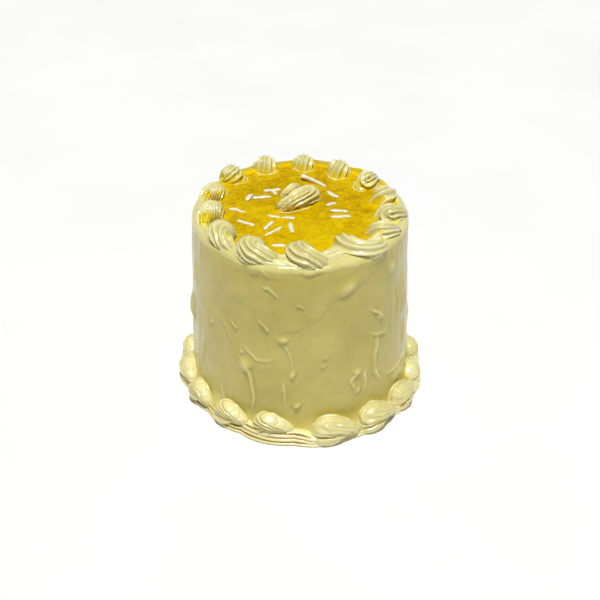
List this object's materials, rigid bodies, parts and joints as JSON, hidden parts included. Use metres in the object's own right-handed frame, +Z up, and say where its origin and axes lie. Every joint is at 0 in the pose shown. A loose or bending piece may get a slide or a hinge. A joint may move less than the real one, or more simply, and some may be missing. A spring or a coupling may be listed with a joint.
{
  "type": "lemon cake",
  "caption": "Tall round lemon cake with a glossy display finish: pale yellow icing, piped shell borders at top and foot, a lemon glaze pool with pale slivers, and a piped central swirl.",
  "frame": {"origin": "middle of the flat underside, at the level of the surface that the cake stands on", "axes": "+Z up through the cake; -Y towards the side that the picture shows; +X to the right in the picture"},
  "size_m": [0.1843, 0.1854, 0.1523],
  "materials": {
    "icing": "glossy pale butter-yellow icing",
    "upper_piping": "glossy pale yellow piped icing",
    "lower_piping": "glossy pale yellow piped icing, stained tan in a few grooves",
    "swirl_piping": "glossy pale yellow piped icing",
    "glaze": "wet-looking golden yellow glaze with white slivers"
  },
  "bodies": {
    "root": {"center_swirl": "swirl_piping", "foot_skirt": "lower_piping", "iced_cake": "icing", "lemon_glaze": "glaze", "lower_shell_01": "lower_piping", "lower_shell_02": "lower_piping", "lower_shell_03": "lower_piping", "lower_shell_04": "lower_piping", "lower_shell_05": "lower_piping", "lower_shell_06": "lower_piping", "lower_shell_07": "lower_piping", "lower_shell_08": "lower_piping", "lower_shell_09": "lower_piping", "lower_shell_10": "lower_piping", "lower_shell_11": "lower_piping", "lower_shell_12": "lower_piping", "lower_shell_13": "lower_piping", "lower_shell_14": "lower_piping", "lower_shell_15": "lower_piping", "lower_shell_16": "lower_piping", "lower_shell_17": "lower_piping", "upper_shell_01": "upper_piping", "upper_shell_02": "upper_piping", "upper_shell_03": "upper_piping", "upper_shell_04": "upper_piping", "upper_shell_05": "upper_piping", "upper_shell_06": "upper_piping", "upper_shell_07": "upper_piping", "upper_shell_08": "upper_piping", "upper_shell_09": "upper_piping", "upper_shell_10": "upper_piping", "upper_shell_11": "upper_piping", "upper_shell_12": "upper_piping", "upper_shell_13": "upper_piping", "upper_shell_14": "upper_piping"}
  },
  "joints": []
}
